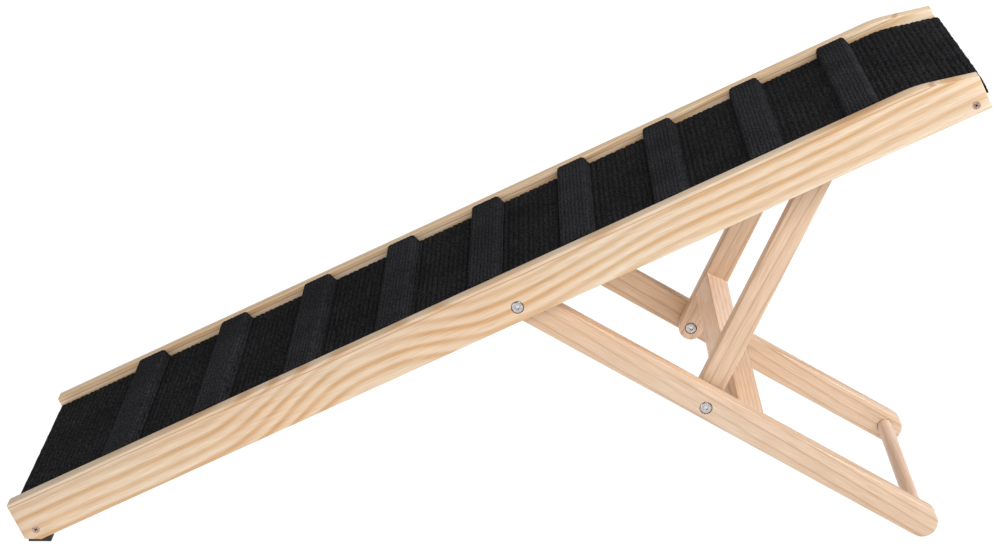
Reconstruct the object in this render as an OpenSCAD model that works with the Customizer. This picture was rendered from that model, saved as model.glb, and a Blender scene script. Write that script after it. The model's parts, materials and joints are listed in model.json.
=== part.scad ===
// Folding dog ramp: a carpeted deck between two pine side rails, held up by a
// folding pair of legs and a pair of struts whose bar drops into notched racks.
// Origin: middle of the footprint, on the floor. +X runs up the ramp, +Z is up.
// Flat parts are drawn in the ramp's own plane: u runs up the slope along the
// bottom edge of the side rails, w stands square to it, y runs across the ramp.

/* [Ramp] */
// Length of the side rails
ramp_l = 1050; // [860:1:1300]
// Overall width across the side rails
ramp_w = 350; // [300:1:450]
// Height of the side rails
rail_h = 47; // [46:0.5:56]
// Thickness of the side rails
rail_t = 20; // [18:0.5:26]
// Length of the sloping landing at the top of each rail
landing_l = 59; // [40:1:80]
// Angle by which the landing dips below the line of the rail, degrees
landing_dip = 12.4; // [8:0.1:14]
// Radius that eases the top edge of the rail into the landing
landing_r = 130; // [60:5:180]
// Length of the flat cut that lets the low end sit on the floor
toe_cut_l = 15; // [10:0.5:20]

/* [Deck and carpet] */
// Thickness of the plywood deck
deck_t = 4; // [3:0.5:5]
// How far the deck is let into each side rail
groove_d = 6; // [4:0.5:8]
// How far the carpet lies below the top edge of the rails
carpet_drop = 9; // [7:0.5:11]
// Thickness of the carpet
carpet_t = 3.6; // [2:0.1:4]
// Length of carpet that hangs down the high end face
carpet_hem = 11; // [8:0.5:12]
// Length along the ramp of the low cross rail
low_cross_l = 20; // [18:1:30]
// Length along the ramp of the high cross rail
high_cross_l = 23; // [20:1:30]

/* [Cleats] */
// Distance from the low end to the middle of the first cleat
cleat_low_gap = 117.5; // [80:0.5:150]
// Distance from the high end to the middle of the last cleat
cleat_high_gap = 114.5; // [90:0.5:140]
// Width of a covered cleat where it meets the carpet
cleat_base = 38; // [36:0.5:42]
// Width of a covered cleat across its top
cleat_top = 31; // [24:0.5:34]
// Height of a covered cleat above the carpet
cleat_h = 10; // [8:0.5:12]
// Thickness of the carpet strip that wraps a cleat
cover_t = 2; // [1.5:0.1:2.5]

/* [Legs] */
// Distance from the high end to the leg pivot
pivot_from_top = 498; // [480:1:520]
// Width of a leg
leg_w = 31; // [26:0.5:36]
// Gap between a folded leg and the deck above it
leg_deck_gap = 0.4; // [0.3:0.1:1]
// Thickness of a leg
leg_t = 20; // [18:0.5:22]
// Distance from the leg pivot to the centre of the foot's round end
leg_span = 471; // [450:1:490]
// Distance along the leg from its pivot to the strut pivot
strut_at = 218.6; // [200:0.1:230]
// Distance of the strut pivot from the leg's centre line
strut_offset = 3.6; // [3:0.1:4]
// Distance along the leg from the strut pivot to the cross rail between the legs
leg_rail_from_strut = 28; // [20:0.5:60]
// Width of that cross rail along the leg
leg_rail_w = 29.8; // [24:0.1:36]
// Thickness of that cross rail, down from the legs' upper edges
leg_rail_t = 20; // [16:0.5:26]
// Diameter of the foot dowel
foot_dowel_d = 16; // [14:0.5:18]
// Diametral play of the foot dowel in its blind holes
foot_dowel_play = 0.8; // [0.4:0.1:1]
// Distance from the centre of the leg's foot end back to the foot dowel
foot_dowel_back = 4; // [2:0.5:6]

/* [Struts] */
// Width of a strut
strut_w = 26; // [24:0.5:26]
// Thickness of a strut
strut_t = 20; // [18:0.5:22]
// Distance from the strut pivot to the catch bar
strut_span = 281.5; // [275:0.5:288]
// Distance along the strut from its pivot to the cross block
block_at = 37; // [30:0.5:60]
// Length of the cross block along the strut
block_l = 27.5; // [20:0.5:32]
// Height of the cross block across the strut
block_h = 25; // [20:0.5:25]
// Diameter of the catch bar
catch_bar_d = 16; // [14:0.5:16]
// Diameter of the dowels that hold the cross block and the leg cross rail
cross_dowel_d = 8; // [6:0.5:8]

/* [Height racks] */
// Number of notches in each rack
notch_count = 6; // [6:1:6]
// Notch that the catch bar rests in, counted from the lowest end
notch_used = 3; // [1:1:6]
// Distance between notches
notch_pitch = 33; // [32:0.5:34]
// Distance from the high end to the notch nearest the leg pivot
first_notch_from_top = 225; // [220:1:230]
// Height of the seated catch bar above the bottom edge of the rail
notch_w = 12; // [11:0.5:13]
// Width of a notch beyond the bar's diameter
notch_play = 2; // [1:0.1:2.4]
// Lean of a notch from the line of the rail, degrees
notch_lean = 55.5; // [50:0.5:62]
// Thickness of a rack
rack_t = 18; // [12:0.5:18]

/* [Hardware] */
// Diameter of the pivot bolt heads
head_d = 12; // [11:0.1:12]
// Diameter of the barrel nuts that the legs and struts turn on
barrel_d = 8; // [7:0.1:8.4]
// Gap that a washer fills between two boards
washer_gap = 2; // [1.5:0.1:2.5]
// Diameter of the washers
washer_d = 18; // [14:0.5:20]
// Thickness of a rubber foot under the low end
pad_t = 2.6; // [2:0.1:4]
// Length of a rubber foot on the floor
pad_l = 23; // [18:0.5:26]

/* [Hidden] */
cleat_count = 9;
cleat_names = [for (i = [1:cleat_count]) str("cleat_batten_", i)];
cover_names = [for (i = [1:cleat_count]) str("cleat_cover_", i)];

$fn = 64;
slack = 0.05;              // radial clearance of a shaft or screw in its hole
eps = 0.01;                // overshoot of a cut past the face that it opens
soft_gap = 0.5;            // room beside the carpet and the cleats
head_t = 2.4;              // thickness of a bolt head or barrel nut head
head_sunk = 0.2;           // how far a head lies below the wood
head_gap = 0.5;            // room around a head in its counterbore
turn_gap = 0.2;            // gap at every face that turns on another
barrel_wall = 1;           // wall of a barrel nut
bolt_reach = 27;           // length of the bolt's shank behind its head
bolt_wall = 8;             // outer board left whole beyond the end of its barrel nut
socket_af = 4;             // hexagon socket across its flats
socket_d = 1.6;            // depth of a hexagon socket
wood_screw_d = 4;          // shank of the cross rail and rack screws
wood_screw_head_d = 8;
cross_screw_l = 42;        // overall length of a cross rail screw
rack_screw_l = 28;         // overall length of a rack screw
cleat_screw_d = 3.5;
cleat_screw_head_d = 7;
cleat_screw_l = 14.2;      // overall length of a cleat screw
cleat_screw_y = 110;       // cleat screws lie this far each side of the middle
cross_recess_l = 4.4;      // length of the arms of a screw's cross recess
cross_recess_w = 0.9;      // width of those arms
cross_recess_d = 1.4;      // depth of the cross recess
rack_floor_w = 3;          // lower edge of a rack
rack_h = 23;               // height of a rack
rack_end = 20;             // rack left beyond the first notch
rack_tail = 15;            // rack left beyond the last notch
rack_screw_rise = 5;       // rack screws lie this far above the seated bar
low_cross_gap = 0.2;       // low cross rail stays this far above the toe cut
low_screw_w = 11.7;        // height of the low cross rail's screws
high_screw_w = 8.5;        // height of the high cross rail's screws
high_screw_back = 13.4;    // distance of those screws from the high end
bend_steps = 8;            // facets of the eased bend into the landing
foot_dowel_depth = 12;     // depth of the blind holes for the foot dowel
cross_dowel_l = 24;        // length of a dowel that holds a cross piece
cross_dowel_side = 6.5;    // half the distance between the two dowels at one end
catch_bar_stop = 5;        // room between the catch bar's ends and the rails
pad_inset = 3.4;           // rubber foot starts this far behind the toe

bolt_d = barrel_d - 2 * barrel_wall;

// Layers across the ramp, from the middle to the outside
outer_y = ramp_w / 2;
rail_y = outer_y - rail_t;
leg_out_y = rail_y - washer_gap;
leg_in_y = leg_out_y - leg_t;
strut_out_y = leg_in_y - washer_gap;
strut_in_y = strut_out_y - strut_t;
barrel_in_rail = rail_t - bolt_wall;
barrel_in_leg = leg_t - bolt_wall;

// Depths in the ramp's section, measured down from the top edge of the rails
deck_drop = carpet_drop + carpet_t;
under_drop = deck_drop + deck_t;

// The linkage, solved in the plane of the ramp as points [u, w]
pivot_w = rail_h - under_drop - leg_deck_gap - leg_w / 2;
pivot_a = [ramp_l - pivot_from_top, pivot_w];
function notch(i) = [ramp_l - first_notch_from_top + i * notch_pitch, notch_w];
catch_t = notch(notch_used - 1);
to_catch = catch_t - pivot_a;
reach_b = norm([strut_at, strut_offset]);
angle_tab = acos((reach_b ^ 2 + norm(to_catch) ^ 2 - strut_span ^ 2) / (2 * reach_b * norm(to_catch)));
angle_b = atan2(to_catch[1], to_catch[0]) - angle_tab;
pivot_b = pivot_a + reach_b * [cos(angle_b), sin(angle_b)];
leg_angle = angle_b + atan2(strut_offset, strut_at);
strut_angle = atan2(catch_t[1] - pivot_b[1], catch_t[0] - pivot_b[0]);
strut_pin = [strut_at, -strut_offset];
foot_dowel_at = [leg_span - foot_dowel_back, 0];
leg_rail_at = strut_at + leg_rail_from_strut;
leg_rail_mid = [leg_rail_at + leg_rail_w / 2, (leg_w - leg_rail_t) / 2];
foot_c = pivot_a + leg_span * [cos(leg_angle), sin(leg_angle)];

// The slope at which both the toe cut and the round feet touch the floor
toe_to_foot = foot_c - [toe_cut_l, 0];
incline = asin((leg_w / 2 - pad_t) / norm(toe_to_foot)) - atan2(toe_to_foot[1], toe_to_foot[0]);
frame_x = (rail_h * sin(incline) - ramp_l * cos(incline)) / 2;
frame_z = pad_t - toe_cut_l * sin(incline);

// Heights in the ramp's section
bend_u = ramp_l - landing_l;
toe_w = toe_cut_l * tan(incline);
function bend_at(drop) = bend_u - drop * tan(landing_dip / 2);
function top_w(u, drop) =
    u < bend_at(drop) ? rail_h - drop
    : rail_h - drop / cos(landing_dip) - (u - bend_u) * tan(landing_dip);
bend_centre = [bend_u - landing_r * tan(landing_dip / 2), rail_h - landing_r];
function bend_point(a) = bend_centre + landing_r * [sin(a), cos(a)];
cleat_pitch = (ramp_l - cleat_low_gap - cleat_high_gap) / (cleat_count - 1);
function cleat_u(i) = cleat_low_gap + i * cleat_pitch;
low_cross_u = toe_cut_l - low_cross_l / 2;
low_cross_w = (toe_cut_l - low_cross_u) * tan(incline) + low_cross_gap;
low_screw = [toe_cut_l, low_screw_w];
high_screw = [ramp_l - high_screw_back, high_screw_w];
rack_u0 = ramp_l - first_notch_from_top - rack_end;
rack_l = (notch_count - 1) * notch_pitch + rack_end + rack_tail;
function rack_screw(i) = notch(0) + [(2 * i + 0.5) * notch_pitch, rack_screw_rise];
rack_screw_count = floor(notch_count / 2);

// Places the ramp's plane on the floor at its incline
module in_ramp() {
    translate([frame_x, 0, frame_z]) rotate([0, -incline, 0]) children();
}

// Places a leg: s runs from its pivot to its foot
module in_leg() {
    in_ramp() translate([pivot_a[0], 0, pivot_a[1]]) rotate([0, -leg_angle, 0]) children();
}

// Places a strut: s runs from its pivot to the catch bar
module in_strut() {
    in_ramp() translate([pivot_b[0], 0, pivot_b[1]]) rotate([0, -strut_angle, 0]) children();
}

// A board of the drawn outline between two places across the ramp
module board(y0, y1) {
    translate([0, y1, 0]) rotate([90, 0, 0]) linear_extrude(y1 - y0) children();
}

// A round bar across the ramp at a point of the drawn plane
module bar(at, d, y0, y1) {
    translate([at[0], y0, at[1]]) rotate([-90, 0, 0]) cylinder(d = d, h = y1 - y0);
}

// Repeats a piece on both sides of the ramp
module both_sides() {
    children();
    mirror([0, 1, 0]) children();
}

// Draws a piece on one side only: 1 is the left side going up, -1 the right
module on_side(side) {
    mirror([0, side < 0 ? 1 : 0, 0]) children();
}

// A strip that follows the top of the rails between two drops below it
module follow_top(u0, u1, drop_top, drop_under) {
    polygon([
        [u0, top_w(u0, drop_top)],
        if (u0 < bend_at(drop_top) && u1 > bend_at(drop_top)) [bend_at(drop_top), rail_h - drop_top],
        [u1, top_w(u1, drop_top)],
        [u1, top_w(u1, drop_under)],
        if (u0 < bend_at(drop_under) && u1 > bend_at(drop_under)) [bend_at(drop_under), rail_h - drop_under],
        [u0, top_w(u0, drop_under)]
    ]);
}

// A straight bar with round ends
module stadium(length, width) {
    translate([0, -width / 2]) square([length, width]);
    circle(d = width);
    translate([length, 0]) circle(d = width);
}

// Side rails -------------------------------------------------------------

module rail_outline() {
    polygon([
        [0, toe_w],
        [toe_cut_l, 0],
        [ramp_l, 0],
        [ramp_l, top_w(ramp_l, 0)],
        for (i = [bend_steps:-1:0]) bend_point(i * landing_dip / bend_steps),
        [0, rail_h]
    ]);
}

module side_rail() {
    color("#e8cf9c") in_ramp() difference() {
        board(rail_y, outer_y) rail_outline();
        board(rail_y - 1, rail_y + groove_d) follow_top(-1, ramp_l + 1, deck_drop, under_drop);
        bar(pivot_a, barrel_d + 2 * slack, rail_y - 1, rail_y + barrel_in_rail);
        bar(pivot_a, bolt_d + 2 * slack, rail_y, outer_y);
        bar(pivot_a, head_d + 2 * head_gap, outer_y - head_t - head_sunk, outer_y + 1);
        for (at = [low_screw, high_screw]) wood_screw_hole(at);
        for (i = [0:rack_screw_count - 1])
            bar(rack_screw(i), wood_screw_d + 2 * slack, rail_y - 1, rail_y + rack_screw_l - rack_t + slack);
    }
}

// Deck, landing and cross rails -------------------------------------------

module deck_panel() {
    color("#d9bd8b") in_ramp() difference() {
        board(-rail_y - groove_d + soft_gap, rail_y + groove_d - soft_gap) intersection() {
            follow_top(0, ramp_l, deck_drop, under_drop);
            deck_side();
        }
        for (i = [0:cleat_count - 1]) both_sides() cleat_screw(i, slack);
    }
}

module landing_panel() {
    color("#d9bd8b") in_ramp() board(-rail_y - groove_d + soft_gap, rail_y + groove_d - soft_gap)
        difference() {
            follow_top(0, ramp_l, deck_drop, under_drop);
            deck_side();
        }
}

// Everything on the low side of the mitre between deck and landing
module deck_side() {
    polygon([
        [-1, -1],
        [bend_at(rail_h + 1), -1],
        [bend_at(-1), rail_h + 1],
        [-1, rail_h + 1]
    ]);
}

module low_cross_rail() {
    color("#dec192") in_ramp() difference() {
        board(-rail_y, rail_y) translate([low_cross_u, low_cross_w])
            square([low_cross_l, rail_h - under_drop - low_cross_w]);
        both_sides() wood_screw_hole(low_screw);
    }
}

module high_cross_rail() {
    u0 = ramp_l - high_cross_l;
    color("#dec192") in_ramp() difference() {
        board(-rail_y, rail_y) polygon([
            [u0, 0],
            [ramp_l, 0],
            [ramp_l, top_w(ramp_l, under_drop)],
            [u0, top_w(u0, under_drop)]
        ]);
        both_sides() wood_screw_hole(high_screw);
    }
}

// Carpet and cleats ---------------------------------------------------------

module carpet() {
    side = rail_y - soft_gap;
    fold_w = top_w(ramp_l, carpet_drop);
    color("#1d1e20") in_ramp() difference() {
        union() {
            board(-side, side) follow_top(0, ramp_l, carpet_drop, deck_drop);
            board(-side, side) polygon([
                [ramp_l, fold_w],
                [ramp_l + carpet_t / 2, fold_w - carpet_t / 4],
                [ramp_l + carpet_t, fold_w - carpet_t],
                [ramp_l + carpet_t, fold_w - carpet_t - carpet_hem],
                [ramp_l, fold_w - carpet_t - carpet_hem]
            ]);
        }
        for (i = [0:cleat_count - 1]) both_sides() cleat_screw(i, slack);
    }
}

module cleat_outline(inset) {
    floor_w = rail_h - carpet_drop;
    polygon([
        [-cleat_base / 2 + inset, floor_w],
        [cleat_base / 2 - inset, floor_w],
        [cleat_top / 2 - inset, floor_w + cleat_h - inset],
        [-cleat_top / 2 + inset, floor_w + cleat_h - inset]
    ]);
}

module cleat_batten(i) {
    side = rail_y - soft_gap - cover_t;
    color("#d9bd8b") in_ramp() difference() {
        board(-side, side) translate([cleat_u(i), 0]) cleat_outline(cover_t);
        both_sides() cleat_screw(i, slack);
    }
}

module cleat_cover(i) {
    side = rail_y - soft_gap;
    color("#2a2b2e") in_ramp() difference() {
        board(-side, side) translate([cleat_u(i), 0]) cleat_outline(0);
        board(-side + cover_t, side - cover_t) translate([cleat_u(i), 0]) {
            cleat_outline(cover_t);
            translate([-cleat_base / 2 + cover_t, rail_h - carpet_drop - 1])
                square([cleat_base - 2 * cover_t, 1]);
        }
    }
}

// Height racks ----------------------------------------------------------------

module notch_rack() {
    slot_l = 2 * rack_h;
    color("#d8b987") in_ramp() difference() {
        board(rail_y - rack_t, rail_y) difference() {
            translate([rack_u0, rack_floor_w]) square([rack_l, rack_h]);
            for (i = [0:notch_count - 1])
                translate(notch(i)) rotate(180 + notch_lean) stadium(slot_l, catch_bar_d + notch_play);
        }
        for (i = [0:rack_screw_count - 1])
            translate([rack_screw(i)[0], rail_y - rack_t, rack_screw(i)[1]]) rotate([-90, 0, 0])
                countersunk(wood_screw_d, wood_screw_head_d, rack_screw_l, slack);
    }
}

// Screws -----------------------------------------------------------------------

// A countersunk screw pointing along +Z with its head's top at z = 0, grown by
// a clearance when it is cut out of wood
module countersunk(d, head, length, grow) {
    cone = (head - d) / 2;
    rotate_extrude() polygon([
        [0, grow > 0 ? -eps : 0],
        [head / 2 + grow, grow > 0 ? -eps : 0],
        [head / 2 + grow, 0.4],
        [d / 2 + grow, 0.4 + cone],
        [d / 2 + grow, length + grow],
        [0, length + grow]
    ]);
}

module cross_recess() {
    for (turn = [0, 90]) rotate(turn)
        translate([-cross_recess_l / 2, -cross_recess_w / 2, -eps])
            cube([cross_recess_l, cross_recess_w, cross_recess_d]);
}

module driven_screw(d, head, length) {
    difference() {
        countersunk(d, head, length, 0);
        rotate(45) cross_recess();
    }
}

module wood_screw_hole(at) {
    translate([at[0], outer_y, at[1]]) rotate([90, 0, 0])
        countersunk(wood_screw_d, wood_screw_head_d, cross_screw_l, slack);
}

module cross_rail_screws() {
    color("#b9a878") in_ramp() both_sides() for (at = [low_screw, high_screw])
        translate([at[0], outer_y, at[1]]) rotate([90, 0, 0])
            driven_screw(wood_screw_d, wood_screw_head_d, cross_screw_l);
}

module rack_screws() {
    color("#b9a878") in_ramp() both_sides() for (i = [0:rack_screw_count - 1])
        translate([rack_screw(i)[0], rail_y - rack_t, rack_screw(i)[1]]) rotate([-90, 0, 0])
            driven_screw(wood_screw_d, wood_screw_head_d, rack_screw_l);
}

module cleat_screw(i, grow) {
    translate([cleat_u(i), cleat_screw_y, rail_h - under_drop])
        if (grow > 0) countersunk(cleat_screw_d, cleat_screw_head_d, cleat_screw_l, grow);
        else driven_screw(cleat_screw_d, cleat_screw_head_d, cleat_screw_l);
}

module cleat_screws() {
    color("#b9a878") in_ramp() both_sides() for (i = [0:cleat_count - 1]) cleat_screw(i, 0);
}

// Rubber feet --------------------------------------------------------------------

module rubber_foot() {
    toe_x = frame_x - toe_w * sin(incline);
    heel_x = frame_x + toe_cut_l * cos(incline);
    start_x = toe_x + pad_inset;
    end_x = start_x + pad_l;
    color("#1b1b1b") board(rail_y + 1, outer_y - 1) polygon([
        [start_x, 0],
        [end_x, 0],
        [end_x, pad_t + (end_x - heel_x) * tan(incline)],
        [heel_x, pad_t],
        [start_x, pad_t]
    ]);
}

// Pivot hardware --------------------------------------------------------------------

// A domed head with a hexagon socket, its top at z = 0, reaching down to -head_t
module bolt_head() {
    difference() {
        rotate_extrude() polygon([
            [0, -head_t],
            [head_d / 2, -head_t],
            [head_d / 2, -0.6],
            [head_d / 2 - 0.5, -0.15],
            [head_d / 2 - 1.4, 0],
            [0, 0]
        ]);
        translate([0, 0, -socket_d]) cylinder(d = socket_af / cos(30), h = 2 * socket_d, $fn = 6);
    }
}

// A bolt through the outer board, its head in the board's outer face
module pivot_bolt(at, face_y) {
    shank = head_sunk + head_t;
    translate([at[0], face_y - head_sunk, at[1]]) rotate([-90, 0, 0]) bolt_head();
    bar(at, bolt_d, face_y - shank - bolt_reach, face_y - shank);
}

// A barrel nut through the inner board, its head in that board's inner face,
// ending against the step in the outer board's bore
module barrel_nut(at, face_y, end_y) {
    translate([at[0], face_y + head_sunk, at[1]]) rotate([90, 0, 0]) bolt_head();
    difference() {
        bar(at, barrel_d, face_y + head_sunk + head_t, end_y);
        bar(at, bolt_d + 2 * slack, face_y + head_sunk + head_t + 2, end_y + 1);
    }
}

module washer(at, y0) {
    difference() {
        bar(at, washer_d, y0, y0 + washer_gap - turn_gap);
        bar(at, barrel_d + 2 * slack, y0 - 1, y0 + washer_gap);
    }
}

module leg_pivot_bolts() {
    color("silver") in_ramp() both_sides() pivot_bolt(pivot_a, outer_y);
}

module leg_barrel_nuts() {
    color("silver") in_ramp() both_sides() barrel_nut(pivot_a, leg_in_y, rail_y + barrel_in_rail);
}

module leg_washers() {
    color("silver") in_ramp() both_sides() washer(pivot_a, leg_out_y + turn_gap);
}

module strut_pivot_bolts() {
    color("silver") in_leg() both_sides() pivot_bolt(strut_pin, leg_out_y);
}

module strut_barrel_nuts() {
    color("silver") in_leg() both_sides() barrel_nut(strut_pin, strut_in_y, leg_in_y + barrel_in_leg);
}

module strut_washers() {
    color("silver") in_leg() both_sides() washer(strut_pin, strut_out_y + turn_gap);
}

// Legs, leg cross rail and foot dowel ------------------------------------------------------------------

module leg() {
    sunk = head_t + head_sunk;
    color("#e6c39a") in_leg() difference() {
        board(leg_in_y, leg_out_y) stadium(leg_span, leg_w);
        bar([0, 0], barrel_d + 2 * slack, leg_in_y - 1, leg_out_y + 1);
        bar([0, 0], head_d + 2 * head_gap, leg_in_y - 1, leg_in_y + sunk + turn_gap);
        bar(strut_pin, barrel_d + 2 * slack, leg_in_y - 1, leg_in_y + barrel_in_leg);
        bar(strut_pin, bolt_d + 2 * slack, leg_in_y, leg_out_y);
        bar(strut_pin, head_d + 2 * head_gap, leg_out_y - sunk, leg_out_y + 1);
        bar(foot_dowel_at, foot_dowel_d + foot_dowel_play, leg_in_y - 1, leg_in_y + foot_dowel_depth);
        leg_rail_dowel_holes();
    }
}

module leg_rail_dowel_holes() {
    reach = cross_dowel_l / 2;
    for (n = [-cross_dowel_side, cross_dowel_side])
        bar(leg_rail_mid + [n, 0], cross_dowel_d, leg_in_y - reach, leg_in_y + reach);
}

// Sits between the legs with its upper face level with their upper edges
module leg_cross_rail() {
    color("#e2bd93") in_leg() difference() {
        board(-leg_in_y, leg_in_y) translate([leg_rail_at, leg_w / 2 - leg_rail_t])
            square([leg_rail_w, leg_rail_t]);
        both_sides() leg_rail_dowel_holes();
    }
}

module leg_rail_dowels() {
    color("#d9bd8b") in_leg() both_sides() leg_rail_dowel_holes();
}

module foot_dowel() {
    reach = leg_in_y + foot_dowel_depth;
    color("#e2c79f") in_leg() bar(foot_dowel_at, foot_dowel_d, -reach, reach);
}

// Struts, cross block and catch bar ---------------------------------------------------------

module strut() {
    sunk = head_t + head_sunk;
    color("#e6c39a") in_strut() difference() {
        board(strut_in_y, strut_out_y) stadium(strut_span, strut_w);
        bar([0, 0], barrel_d + 2 * slack, strut_in_y - 1, strut_out_y + 1);
        bar([0, 0], head_d + 2 * head_gap, strut_in_y - 1, strut_in_y + sunk + turn_gap);
        bar([strut_span, 0], catch_bar_d, strut_in_y - 1, strut_out_y + 1);
        block_dowel_holes();
    }
}

module block_dowel_holes() {
    reach = cross_dowel_l / 2;
    for (n = [-cross_dowel_side, cross_dowel_side])
        bar([block_at + block_l / 2, n], cross_dowel_d, strut_in_y - reach, strut_in_y + reach);
}

module strut_cross_block() {
    color("#e2bd93") in_strut() difference() {
        board(-strut_in_y, strut_in_y) translate([block_at, -block_h / 2]) square([block_l, block_h]);
        both_sides() block_dowel_holes();
    }
}

module cross_block_dowels() {
    color("#d9bd8b") in_strut() both_sides() block_dowel_holes();
}

module catch_bar() {
    reach = rail_y - catch_bar_stop;
    color("#e2c79f") in_strut() bar([strut_span, 0], catch_bar_d, -reach, reach);
}

// Parts -------------------------------------------------------------------------------------

on_side(-1) side_rail();  // right_side_rail
on_side(1) side_rail();  // left_side_rail
deck_panel();
landing_panel();
low_cross_rail();
high_cross_rail();
carpet();
for (i = [0:cleat_count - 1]) cleat_batten(i);
for (i = [0:cleat_count - 1]) cleat_cover(i);
on_side(-1) notch_rack();  // right_notch_rack
on_side(1) notch_rack();  // left_notch_rack
cross_rail_screws();
rack_screws();
cleat_screws();
on_side(-1) rubber_foot();  // right_rubber_foot
on_side(1) rubber_foot();  // left_rubber_foot
leg_pivot_bolts();
leg_barrel_nuts();
leg_washers();
on_side(-1) leg();  // right_leg
on_side(1) leg();  // left_leg
leg_cross_rail();
leg_rail_dowels();
foot_dowel();
strut_pivot_bolts();
strut_barrel_nuts();
strut_washers();
on_side(-1) strut();  // right_strut
on_side(1) strut();  // left_strut
strut_cross_block();
cross_block_dowels();
catch_bar();
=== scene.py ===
"""Folding dog ramp: eased pine boards, ribbed carpet and studio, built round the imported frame."""
import json
import math

import bmesh
import bpy
import numpy as np
from mathutils import Matrix, Vector


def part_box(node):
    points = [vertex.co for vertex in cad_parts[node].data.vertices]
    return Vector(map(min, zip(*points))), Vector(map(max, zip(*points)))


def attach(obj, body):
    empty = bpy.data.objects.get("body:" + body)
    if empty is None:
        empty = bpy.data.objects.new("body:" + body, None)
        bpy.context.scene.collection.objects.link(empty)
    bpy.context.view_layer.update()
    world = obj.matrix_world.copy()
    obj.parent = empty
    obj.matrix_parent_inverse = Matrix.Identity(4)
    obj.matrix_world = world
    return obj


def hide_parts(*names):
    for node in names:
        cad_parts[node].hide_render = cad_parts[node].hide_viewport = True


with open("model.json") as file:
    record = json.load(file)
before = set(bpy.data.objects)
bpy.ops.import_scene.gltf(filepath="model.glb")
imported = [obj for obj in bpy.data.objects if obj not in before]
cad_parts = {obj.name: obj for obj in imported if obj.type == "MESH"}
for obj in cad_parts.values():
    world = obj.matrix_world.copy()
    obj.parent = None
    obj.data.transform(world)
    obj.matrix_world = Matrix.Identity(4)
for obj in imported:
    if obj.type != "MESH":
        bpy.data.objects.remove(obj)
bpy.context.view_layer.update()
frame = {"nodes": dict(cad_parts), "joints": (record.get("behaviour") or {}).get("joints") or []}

# ---------------------------------------------------------------- sizes, in metres

MM = 0.001
RAIL_LENGTH = 1050 * MM
RAIL_HEIGHT = 47 * MM
LANDING_LENGTH = 59 * MM  # the rails' sloping end, where the dog steps off
LANDING_DIP = math.radians(12.4)  # the landing under the line of the ramp
LANDING_RADIUS = 130 * MM  # rounds the bend of the rails' top edge
PIVOT_FROM_TOP = 498 * MM  # the leg pivot from the rails' high end
PIVOT_UP = 14.5 * MM  # the leg pivot above the rails' lower edge
CARPET_DROP = 9 * MM  # the carpet's face below the rails' top edge
CARPET_THICKNESS = 3.4 * MM
CARPET_FOLD_RADIUS = 5 * MM
CARPET_OVERHANG = 3.6 * MM  # how far the carpet stands out past the high end
CARPET_HEM_UP = 10.2 * MM  # the hem above the rails' lower edge
CARPET_SIDE_GAP = 0.7 * MM  # between the carpet and each rail
CARPET_RIB_PITCH = 5.75 * MM
CARPET_RIB_SINK = 1.3 * MM  # lowers the face before its ribs are raised
LOOSE_END = 75 * MM  # the last stretch of carpet, which waves a little
LOOSE_FADE = 40 * MM  # the length over which the waves come in
CLEAT_BASE = 38 * MM  # along the ramp, at its foot
CLEAT_TOP = 31 * MM  # along the ramp, at its top
CLEAT_HEIGHT = 10 * MM
CLEAT_CORNER_RADIUS = 4.5 * MM
CLEAT_THICKNESS = 2 * MM
CLEAT_SIDE_GAP = 0.8 * MM
CLEAT_FOOT_UP = 0.15 * MM  # the strip's edges above the carpet
CLEAT_BACK_UP = 0.1 * MM  # the least that the strip's back is above the carpet
CLEAT_RIB_PITCH = 3.95 * MM
CLEAT_RIB_SINK = 0.55 * MM
CLEAT_COUNT = 9
HEM_SIDE_GAP = 2 * MM
HEM_THREADS = 230
THREAD_LENGTH = 2.4 * MM
THREAD_RADIUS = 0.35 * MM
WOOD_EASE = 1.1 * MM
SMALL_WOOD_EASE = 0.8 * MM
ROUGH_WOOD_EASE = 0.6 * MM
BAR_EASE = 1.2 * MM
HEAD_EASE = 0.25 * MM
RUBBER_EASE = 0.4 * MM

# ---------------------------------------------------------------- how fine the meshes are

DECK_COLUMNS = 61  # points across the ramp
DECK_STEPS_PER_RIB = 6
DECK_BACK_STEP = 6  # the back follows every sixth point of the face
CLEAT_COLUMNS = 33
CLEAT_STEPS_PER_RIB = 8
CLEAT_BACK_STEP = 4  # the back follows every fourth point of the face
CREASE_ANGLE = math.radians(25)  # sharper edges are eased
SMOOTH_ANGLE = math.radians(32)  # sharper edges stay crisp in the shading
FLAT_ANGLE = math.radians(0.5)  # faces this close to flat become one face
SEED = 7

# ---------------------------------------------------------------- places taken from the frame


def middle(node):
    """The middle of a CAD node's box."""
    low, high = (Vector(corner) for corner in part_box(node))
    return (low + high) / 2


def joint_place(name):
    """Where a joint's axis lies."""
    return Vector(next(joint for joint in frame["joints"] if joint["name"] == name)["pos_m"])


def slope_of(start, end):
    """The slope of the line between two places, seen from the side."""
    return math.atan2(end.z - start.z, end.x - start.x)


LEG_PIVOT = joint_place("leg_fold")
STRUT_PIVOT = joint_place("strut_fold")
RAMP_SLOPE = slope_of(middle("cleat_cover_1"), middle("cleat_cover_9"))
LEG_SLOPE = slope_of(LEG_PIVOT, middle("foot_dowel"))
STRUT_SLOPE = slope_of(STRUT_PIVOT, middle("catch_bar"))
RAIL_OUTER_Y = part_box("left_side_rail")[1][1]
RAIL_INNER_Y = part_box("left_side_rail")[0][1]
ALONG_RAMP = Vector((math.cos(RAMP_SLOPE), 0, math.sin(RAMP_SLOPE)))
OFF_RAMP = Vector((-math.sin(RAMP_SLOPE), 0, math.cos(RAMP_SLOPE)))
RAMP_START = LEG_PIVOT - (RAIL_LENGTH - PIVOT_FROM_TOP) * ALONG_RAMP - PIVOT_UP * OFF_RAMP


def ramp_point(along, across, up):
    """A place from its distances up the slope, across the ramp and square off the rails' lower edge."""
    return RAMP_START + along * ALONG_RAMP + up * OFF_RAMP + Vector((0, across, 0))


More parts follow.
